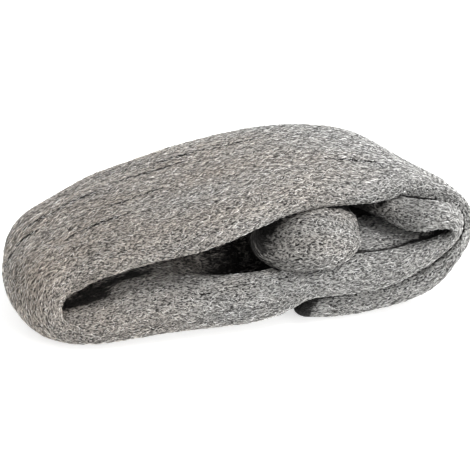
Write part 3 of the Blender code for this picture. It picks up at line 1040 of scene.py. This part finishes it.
# The strands lie evenly, not in clumps: their places follow a sequence that always steps into the widest gap.
steps = np.arange(len(PIECES) * STRANDS_EACH)
down, over, kind = (steps * step % 1 for step in EVEN_STEPS)
total = np.cumsum(cell_weight) / cell_weight.sum()
row_total = np.concatenate([[0.0], total[columns - 1 :: columns]])
fibre_row = np.clip(np.searchsorted(row_total, down, side="right") - 1, 0, rows - 2)
row_share = row_total[fibre_row + 1] - row_total[fibre_row]
fibre_rows = fibre_row + (down - row_total[fibre_row]) / row_share
cell = np.clip(np.searchsorted(total, row_total[fibre_row] + over * row_share), 0, total.size - 1)
fibre_columns = cell % columns + random.uniform(size=cell.size)
in_order = np.argsort(fibre_rows, kind="stable")
fibre_rows, fibre_columns, kind = fibre_rows[in_order], fibre_columns[in_order], kind[in_order]

faces = strand_faces(STRANDS_EACH)
for number, name in enumerate(PIECES):
    chosen = slice(number * STRANDS_EACH, (number + 1) * STRANDS_EACH)
    points, middles = strands(random, fibre_rows[chosen], fibre_columns[chosen])
    mesh = mesh_of(name, points.reshape(-1, 3), faces)
    tone = np.where(kind[chosen] < BRIGHT_SHARE, BRIGHT_TONE, DULL_TONE)
    tone = tone * np.exp(random.normal(size=STRANDS_EACH) * TONE_SPREAD)
    give(mesh, "tone", np.repeat(tone, POINTS_EACH))
    give(mesh, "lay", np.repeat(middles, POINTS_EACH, axis=0))
    # The openness under each strand's middle, for the painted shade in its material.
    open_here = on_grid(openness[..., None], fibre_rows[chosen], fibre_columns[chosen])[:, 0]
    give(mesh, "open", np.repeat(open_here, POINTS_EACH))
    bake_map(mesh, strand_map(STRANDS_EACH, faces))
    mesh.materials.append(fibre_material)
    piece = bpy.data.objects.new(name, mesh)
    bpy.context.scene.collection.objects.link(piece)
    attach(piece, "root")


# The floor, the light and the camera
# The bundle lies on a white floor in soft light from above, as in the photograph, whose angle the camera has.
# The floor and the sky look pure white, and still cast only as much light on the bundle as they should.

FLOOR_HALF = 1.5
FLOOR_DROP = 0.2 * MM
FLOOR_WHITE = (0.82, 0.82, 0.81, 1)
FLOOR_GLOW = 0.62
SKY_GREY = (0.68, 0.68, 0.68, 1)
WHITE = (1, 1, 1, 1)
BLACK = (0, 0, 0, 1)


def seen_directly(nodes):
    """1 for the rays that show the surroundings, straight or mirrored, and 0 for those that only light."""
    kinds = ("Camera", "Glossy", "Transmission")
    seen, mirrored, through = (nodes.node("ShaderNodeLightPath", output=f"Is {kind} Ray") for kind in kinds)
    return nodes.between(seen + mirrored + through, 0, 1)


floor_corners = np.array([(-1, -1), (1, -1), (1, 1), (-1, 1)]) * FLOOR_HALF
floor_points = np.column_stack([floor_corners, np.full(4, -FLOOR_DROP)])
floor_mesh = mesh_of("floor", floor_points, np.array([(0, 1, 2), (0, 2, 3)]), False)
floor = bpy.data.objects.new("floor", floor_mesh)
bpy.context.scene.collection.objects.link(floor)
floor_finish = Finish("floor", Base_Color=FLOOR_WHITE, Roughness=0.9, Emission_Strength=FLOOR_GLOW)
floor_finish.set("Emission Color", floor_finish.mixed(seen_directly(floor_finish), BLACK, WHITE))
floor_mesh.materials.append(floor_finish.material)

world = bpy.data.worlds.new("studio")
bpy.context.scene.world = world
sky = Nodes(world, "Background")
sky.set("Color", sky.mixed(seen_directly(sky), SKY_GREY, WHITE))


def softbox(name, place, size, power):
    """A square lamp that faces the bundle."""
    lamp = bpy.data.lights.new(name, "AREA")
    lamp.size = size
    lamp.energy = power
    made = bpy.data.objects.new(name, lamp)
    bpy.context.scene.collection.objects.link(made)
    made.location = place
    made.rotation_mode = "QUATERNION"
    made.rotation_quaternion = Vector(place).to_track_quat("Z", "Y")


softbox("key_light", (0.6, -0.2, 1.0), 0.45, 13.9)
softbox("fill_light", (0.7, -0.85, 0.35), 0.4, 6)

LENS = 110
SENSOR_WIDTH = 36
AZIMUTH = math.radians(-11.5)
ELEVATION = math.radians(31)
DISTANCE = 0.74
TARGET = Vector((0.0007, -0.00305, 0.0285))

camera = bpy.data.objects.new("camera", bpy.data.cameras.new("camera"))
bpy.context.scene.collection.objects.link(camera)
camera.data.lens = LENS
camera.data.sensor_width = SENSOR_WIDTH
towards = Vector((
    math.sin(AZIMUTH) * math.cos(ELEVATION),
    -math.cos(AZIMUTH) * math.cos(ELEVATION),
    math.sin(ELEVATION),
))
camera.location = TARGET + towards * DISTANCE
camera.rotation_mode = "QUATERNION"
camera.rotation_quaternion = (-towards).to_track_quat("-Z", "Y")
bpy.context.scene.camera = camera
bpy.context.scene.view_settings.view_transform = "Standard"
